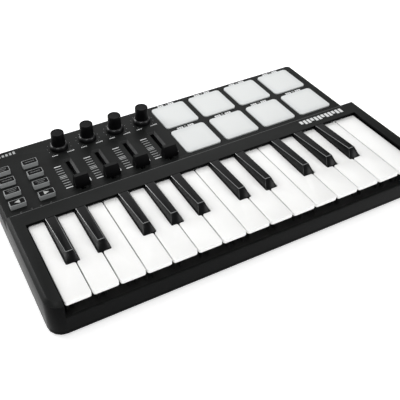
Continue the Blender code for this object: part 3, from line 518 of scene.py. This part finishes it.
def circle(radius, steps):
    return [(radius * math.cos(2 * math.pi * step / steps), radius * math.sin(2 * math.pi * step / steps))
            for step in range(steps)]


def join_rings(bm, rings):
    """Faces between each ring of points and the next."""
    count = len(rings[0])
    for lower, upper in zip(rings, rings[1:]):
        for index in range(count):
            following = (index + 1) % count
            bm.faces.new((lower[index], lower[following], upper[following], upper[index]))


def add_loft(bm, sections, centre=(0.0, 0.0)):
    """A closed solid through outlines at rising levels: sections are (outline, level)."""
    rings = []
    for outline, level in sections:
        rings.append([bm.verts.new((x + centre[0], y + centre[1], level)) for x, y in outline])
    bm.faces.new(rings[0][::-1])
    bm.faces.new(rings[-1])
    join_rings(bm, rings)


def add_box(bm, x_range, y_range, z_range):
    spans = (x_range, y_range, z_range)
    middle = Vector([(low + high) / 2 for low, high in spans])
    size = [high - low for low, high in spans]
    bmesh.ops.create_cube(bm, size=1.0, matrix=Matrix.Translation(middle) @ Matrix.Diagonal((*size, 1.0)))


def fillet(half_x, half_y, radius, top, round_mm, steps=5):
    """Sections of a rounded top edge, from the side wall to the top face."""
    sections = []
    for step in range(steps + 1):
        angle = math.radians(90 * step / steps)
        inset = round_mm * (1 - math.cos(angle))
        level = top - round_mm * (1 - math.sin(angle))
        corner = max(radius - inset, 0.05)
        sections.append((rounded_rectangle(half_x - inset, half_y - inset, corner), level))
    return sections


def new_piece(name, bm, material, body, place=(0.0, 0.0, 0.0), sharp=40):
    """The mesh in millimetres about its place becomes a piece in metres on a body."""
    bmesh.ops.recalc_face_normals(bm, faces=bm.faces)
    bmesh.ops.scale(bm, vec=(MM, MM, MM), verts=bm.verts)
    mesh = bpy.data.meshes.new(name)
    bm.to_mesh(mesh)
    bm.free()
    mesh.shade_smooth()
    mesh.set_sharp_from_angle(angle=math.radians(sharp))
    mesh.materials.append(material)
    item = bpy.data.objects.new(name, mesh)
    item.location = Vector(place) * MM
    bpy.context.scene.collection.objects.link(item)
    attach(item, body)
    return item


def lathe(bm, profile, steps=64):
    """A turned solid from (radius, height) points that run from the top of the axis to its foot."""
    verts = [bm.verts.new((radius, 0.0, height)) for radius, height in profile]
    edges = [bm.edges.new(pair) for pair in zip(verts, verts[1:])]
    bmesh.ops.spin(bm, geom=verts + edges, cent=(0, 0, 0), axis=(0, 0, 1), angle=2 * math.pi, steps=steps)
    bmesh.ops.remove_doubles(bm, verts=bm.verts, dist=0.0005)


# ---------------------------------------------------------------- controls
def make_knobs():
    """A tapering grip with a dished top and a faint pointer, on a shiny collar whose paler colour is
    partly a painted highlight, over a dull skirt.
    """
    low, high = COLLAR_LEVELS
    grip = [(0.0, 15.6), (3.8, 15.65), (4.5, 15.75), (4.9, 15.95), (5.2, 16.0), (5.5, 15.9),
            (KNOB_TOP_RADIUS, 15.55), (5.9, 10.0), (KNOB_FOOT_RADIUS, high - 0.1), (0.0, high - 0.1)]
    collar = [(0.0, high), (6.3, high), (6.5, 4.25), (7.2, 3.55), (COLLAR_RADIUS, low), (0.0, low)]
    skirt = [(0.0, low), (COLLAR_RADIUS, low), (7.65, 2.9), (SKIRT_RADIUS, 0.8), (SKIRT_RADIUS, 0.35),
             (3.0, 0.35), (3.0, -3.3), (0.0, -3.3)]
    for node in KNOBS:
        place = joint_place("turn_" + node)
        body = node + "_body"
        bm = bmesh.new()
        lathe(bm, grip)
        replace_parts(new_piece(node + "_grip", bm, KNOB_PLASTIC, body, place), node)
        bm = bmesh.new()
        lathe(bm, collar)
        new_piece(node + "_collar", bm, COLLAR_SHEEN_PLASTIC, body, place, 60)
        bm = bmesh.new()
        lathe(bm, skirt)
        new_piece(node + "_skirt", bm, KNOB_PLASTIC, body, place, 50)
        bm = bmesh.new()
        add_box(bm, (-0.35, 0.35), (1.2, 4.6), (15.4, 15.78))
        new_piece(node + "_pointer", bm, CAP_LINE_AND_SHEEN, body, place)


def make_fader_caps():
    """A block with a narrow crest set towards the rear, a stem, and a pale line along the crest, whose
    grey is also a painted highlight on the lit top.
    """
    for node in CAPS:
        place = joint_place("slide_" + node.replace("_cap", ""))
        bm = bmesh.new()
        sections = []
        for half_x, half_y, y, level in CAP_LEVELS:
            outline = [(px, py + y) for px, py in rounded_rectangle(half_x, half_y, 0.2, 3)]
            sections.append((outline, level))
        add_loft(bm, sections)
        add_box(bm, (-0.8, 0.8), (-1.5, 1.5), (-6.4, 1.0))
        cap = new_piece(node + "_block", bm, CAP_PLASTIC, node + "_body", place)
        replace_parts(cap, node)
        bm = bmesh.new()
        line = rounded_rectangle(5.4, 1.6, 0.15, 3)
        add_loft(bm, [(line, 9.18), (line, 9.22)], (0.0, 1.2))
        new_piece(node + "_line", bm, CAP_LINE_AND_SHEEN, node + "_body", place)


def make_well_liners():
    """A painted highlight: a paler film on the slopes of each fader well, for the light they catch; not a
    separate part.
    """
    for node in CAPS:
        place = joint_place("slide_" + node.replace("_cap", ""))
        rim = rounded_rectangle(*WELL_RIM, WELL_CORNER, 2)
        foot = rounded_rectangle(*WELL_FOOT, WELL_CORNER, 2)
        bm = bmesh.new()
        rings = []
        film = WELL_HIGHLIGHT_THICKNESS
        for outline, level in ((rim, 0.0), (foot, -WELL_DEPTH), (foot, -WELL_DEPTH - film), (rim, -film)):
            rings.append([bm.verts.new((x, y, level)) for x, y in outline])
        join_rings(bm, rings + rings[:1])
        new_piece(node.replace("cap", "well"), bm, WELL_HIGHLIGHT, CASE,
                  (place.x, place.y + WELL_MIDDLE, PANEL_TOP))


def make_bezel_lip():
    """A painted highlight: a paler strip along the bezel's rear edge, for the light it catches; not a
    separate part.
    """
    bm = bmesh.new()
    add_box(bm, (-BEZEL_HIGHLIGHT_HALF_LENGTH, BEZEL_HIGHLIGHT_HALF_LENGTH),
            (BEZEL_HIGHLIGHT_REAR - BEZEL_HIGHLIGHT_WIDTH, BEZEL_HIGHLIGHT_REAR),
            (BEZEL_TOP - BEZEL_HIGHLIGHT_SUNK, BEZEL_TOP + BEZEL_HIGHLIGHT_PROUD))
    new_piece("bezel_highlight", bm, BEZEL_HIGHLIGHT, CASE)


def flanged_sections(half_x, half_y, corner, rise, round_mm):
    """A flange below the panel and a body above it with a rounded rim."""
    wide = rounded_rectangle(half_x + 1.2, half_y + 1.2, corner + 0.4)
    body = rounded_rectangle(half_x, half_y, corner)
    return [(wide, -4.2), (wide, -2.7), (body, -2.7)] + fillet(half_x, half_y, corner, rise, round_mm)


def make_pads():
    for node in PADS:
        bm = bmesh.new()
        add_loft(bm, flanged_sections(PAD_HALF, PAD_HALF, PAD_CORNER, PAD_RISE, 0.2))
        pad = new_piece(node + "_dome", bm, PAD_SILICONE, node + "_body",
                        joint_place("press_" + node))
        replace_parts(pad, node)


def make_buttons():
    for number, node in enumerate(BUTTONS, 1):
        bm = bmesh.new()
        add_loft(bm, flanged_sections(*BUTTON_HALF, 0.5, BUTTON_RISE, 0.18))
        place = joint_place("press_" + node)
        button = new_piece(node + "_top", bm, BUTTON_RUBBER, node + "_body", place)
        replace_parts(button, node)
        make_button_print(node, number, place)


def make_button_print(node, number, place):
    """A dark field with a row of pale bars, or with an arrow on the two lowest buttons."""
    body = node + "_body"
    bm = bmesh.new()
    field = rounded_rectangle(BUTTON_HALF[0] - 0.55, BUTTON_HALF[1] - 0.5, 0.3, 3)
    add_loft(bm, [(field, BUTTON_RISE - PRINT_SUNK), (field, BUTTON_RISE + PRINT_PROUD)])
    new_piece(node + "_field", bm, BUTTON_INK, body, place)
    bm = bmesh.new()
    if number > 6:
        side = -1 if number == 7 else 1
        triangle = [(side * 2.4, 0.0), (side * -2.1, 2.1), (side * -2.1, -2.1)][::side]
        add_loft(bm, [(triangle, BUTTON_RISE), (triangle, BUTTON_RISE + 2 * PRINT_PROUD)])
        new_piece(node + "_arrow", bm, ARROW_INK, body, place)
        return
    rows = ((0.0, 4.2),) if number in (2, 3, 4) else ((1.0, 4.0), (-1.0, 2.8))
    for row, width in rows:
        for step in range(8):
            x = -width + 2 * width * (step + 0.5) / 8
            half_y = 0.55 if step % 2 else 0.35
            add_box(bm, (x - 0.08 * width, x + 0.08 * width), (row - half_y, row + half_y),
                    (BUTTON_RISE, BUTTON_RISE + 2 * PRINT_PROUD))
    new_piece(node + "_marks", bm, LEGEND_INK, body, place)


# ---------------------------------------------------------------- print on the panel and the bezel
SEGMENTS = {
    "a": ((-1, 2), (1, 2)), "b": ((1, 2), (1, 0)), "c": ((1, 0), (1, -2)), "d": ((-1, -2), (1, -2)),
    "e": ((-1, 0), (-1, -2)), "f": ((-1, 2), (-1, 0)), "g": ((-1, 0), (1, 0)),
}
DIGITS = {"0": "abcdef", "1": "bc", "2": "abged", "3": "abgcd", "4": "fgbc", "5": "afgcd",
          "6": "afgedc", "7": "abc", "8": "abcdefg"}


def add_mark(bm, x_range, y_range, surface):
    add_box(bm, x_range, y_range, (surface - PRINT_SUNK, surface + PRINT_PROUD))


def add_digit(bm, digit, x, y, height, surface):
    """A digit made of straight strokes."""
    unit = height / 4
    half = 0.13 * height / 2
    for name in DIGITS[digit]:
        (x0, y0), (x1, y1) = SEGMENTS[name]
        add_mark(bm, (x + unit * min(x0, x1) - half, x + unit * max(x0, x1) + half),
                 (y + unit * min(y0, y1) - half, y + unit * max(y0, y1) + half), surface)


def make_fader_print():
    """A ladder of ticks left of each fader, and a short mark right of its low end."""
    bold = bmesh.new()
    fine = bmesh.new()
    for node in CAPS:
        place = joint_place("slide_" + node.replace("_cap", ""))
        middle = place.y + FADER_TRAVEL / 2
        x = place.x + SCALE_OFFSET
        steps = sorted(set(SCALE_STEPS) | set(-step for step in SCALE_STEPS))
        for step in steps:
            ends = abs(step) == max(SCALE_STEPS)
            half = 0.45 if ends or step == 0 else 0.28
            ink = bold if ends else fine
            add_mark(ink, (x - 3.0, x + 3.0), (middle + step - half, middle + step + half), PANEL_TOP)
        add_mark(bold, (place.x + 7.6, place.x + 8.7), (place.y + 0.2, place.y + 4.2), PANEL_TOP)
    new_piece("fader_scales_bold", bold, WHITE_INK, CASE)
    new_piece("fader_scales_fine", fine, GREY_INK, CASE)


def make_knob_print():
    """An arc of dots round each knob, with a low and a rising row of bars at its ends."""
    bm = bmesh.new()
    for node in KNOBS:
        place = joint_place("turn_" + node)
        for step in range(DOT_COUNT):
            angle = math.radians(90 + DOT_SWEEP * (0.5 - step / (DOT_COUNT - 1)))
            centre = (place.x + DOT_ARC_RADIUS * math.cos(angle),
                      place.y + DOT_ARC_RADIUS * math.sin(angle))
            dot = circle(0.25, 10)
            add_loft(bm, [(dot, PANEL_TOP - PRINT_SUNK), (dot, PANEL_TOP + PRINT_PROUD)], centre)
    new_piece("knob_dots", bm, GREY_INK, CASE)
    bm = bmesh.new()
    for node in KNOBS:
        place = joint_place("turn_" + node)
        for side, count in ((-1, 4), (1, 5)):
            for step in range(count):
                x = place.x + side * 7.2 + 1.35 * (step - (count - 1) / 2)
                rise = 0.5 if side < 0 else 0.35 + 0.16 * step
                add_mark(bm, (x - 0.5, x + 0.5), (place.y - 9.9 - 0.45, place.y - 9.9 + rise), PANEL_TOP)
    new_piece("knob_ramps", bm, WHITE_INK, CASE)


def make_pad_print():
    """A number between two bars behind each pad."""
    bm = bmesh.new()
    for number, node in enumerate(PADS, 1):
        place = joint_place("press_" + node)
        y = place.y + PAD_HALF + 2.1
        add_digit(bm, str(number), place.x, y, 2.6, PANEL_TOP)
        for side in (-1, 1):
            for step in range(3):
                x = place.x + side * (3.2 + 2.1 * step)
                add_mark(bm, (x - 0.85, x + 0.85), (y - 1.2, y + 1.2), PANEL_TOP)
    new_piece("pad_numbers", bm, WHITE_INK, CASE)


def make_bezel_print():
    """A row of bars like small piano keys on the bezel, right of the middle."""
    bm = bmesh.new()
    for step in range(12):
        x = 99.5 + 3.75 * step
        low = -9.8 if step % 3 else -8.4
        add_mark(bm, (x, x + 2.6), (low, -4.4), BEZEL_TOP)
    new_piece("bezel_bars", bm, WHITE_INK, CASE)
    bm = bmesh.new()
    for step in range(9):
        x = -158.0 + 3.3 * step
        add_mark(bm, (x, x + 2.0), (85.6, 87.0 + 0.3 * step), PANEL_TOP)
    new_piece("panel_bars", bm, GREY_INK, CASE)


def make_indicators():
    """Four smoky lenses behind the bezel."""
    left = joint_place("press_button_7").x
    for number, offset in enumerate(LED_OFFSETS, 1):
        bm = bmesh.new()
        lathe(bm, [(0.0, 0.35), (0.35, 0.32), (0.7, 0.2), (0.9, 0.0), (0.9, -0.4), (0.0, -0.4)], 24)
        place = (left + offset, LED_Y, PANEL_TOP)
        new_piece(f"indicator_{number}", bm, LENS, CASE, place)


def make_screws():
    """Screws with turned heads in the sinks of the bottom cover."""
    for number, (x, y) in enumerate(SCREW_SPOTS, 1):
        bm = bmesh.new()
        lathe(bm, SCREW_PROFILE, 32)
        place = (x, y, BASE_LOW.z)
        new_piece(f"case_screw_{number}", bm, SCREW_STEEL, CASE, place)


# ---------------------------------------------------------------- floor, lights and camera
FLOOR_HALF = 3.0
FLOOR_GREY = 0.94
FLOOR_GLOW = 0.40
WORLD_STRENGTH = 0.30
# Place in metres, diameter in metres and power in watts of each light; all face the origin.
LIGHTS = {
    "top_light": ((0.1, 0.1, 1.6), 1.0, 5.0),
    "front_light": ((-0.9, -1.1, 1.4), 1.0, 10.8),
    "right_light": ((1.15, -1.2, 0.75), 0.8, 9.0),
    "rear_light": ((0.5, 1.1, 1.1), 1.4, 6.3),
    "left_light": ((-1.1, 1.3, 0.8), 1.2, 20.0),
}
CAMERA_PLACE = (-0.21038, -0.36203, 0.36524)
CAMERA_RIGHT = Vector((0.90232, -0.42919, -0.04008))
CAMERA_FORWARD = Vector((0.31513, 0.72023, -0.61802))
LENS_MM = 58.25
SHIFT = (0.1561, -0.1188)


def make_floor():
    bm = bmesh.new()
    bmesh.ops.create_grid(bm, x_segments=1, y_segments=1, size=FLOOR_HALF)
    mesh = bpy.data.meshes.new("floor")
    bm.to_mesh(mesh)
    bm.free()
    paper = start_material("floor_paper", (FLOOR_GREY, FLOOR_GREY, FLOOR_GREY), 0.9, specular=0.1)
    shader_of(paper).inputs["Emission Color"].default_value = (1.0, 1.0, 1.0, 1.0)
    shader_of(paper).inputs["Emission Strength"].default_value = FLOOR_GLOW
    mesh.materials.append(paper)
    floor = bpy.data.objects.new("floor", mesh)
    bpy.context.scene.collection.objects.link(floor)


def add_area(name, place, target, size, power):
    data = bpy.data.lights.new(name, "AREA")
    data.shape = "DISK"
    data.size = size
    data.energy = power
    light = bpy.data.objects.new(name, data)
    light.location = place
    light.rotation_euler = (Vector(target) - Vector(place)).to_track_quat("-Z", "Y").to_euler()
    bpy.context.scene.collection.objects.link(light)


def make_lights():
    world = bpy.data.worlds.new("studio")
    bpy.context.scene.world = world
    world.use_nodes = True
    background = world.node_tree.nodes["Background"]
    background.inputs["Color"].default_value = (1.0, 1.0, 1.0, 1.0)
    background.inputs["Strength"].default_value = WORLD_STRENGTH
    for name, (place, size, power) in LIGHTS.items():
        add_area(name, place, (0.0, 0.0, 0.0), size, power)


def make_camera():
    data = bpy.data.cameras.new("camera")
    data.lens = LENS_MM
    data.sensor_width = 36.0
    data.shift_x, data.shift_y = SHIFT
    data.clip_start = 0.01
    camera = bpy.data.objects.new("camera", data)
    up = CAMERA_RIGHT.cross(CAMERA_FORWARD)
    turn = Matrix((CAMERA_RIGHT, up, -CAMERA_FORWARD)).transposed()
    camera.matrix_world = Matrix.Translation(CAMERA_PLACE) @ turn.to_4x4()
    bpy.context.scene.collection.objects.link(camera)
    bpy.context.scene.camera = camera


make_camera()
make_floor()
make_lights()
dress_frame_nodes()
make_knobs()
make_fader_caps()
make_well_liners()
make_bezel_lip()
make_pads()
make_buttons()
make_fader_print()
make_knob_print()
make_pad_print()
make_bezel_print()
make_indicators()
make_screws()
bpy.context.scene.view_settings.view_transform = "Standard"
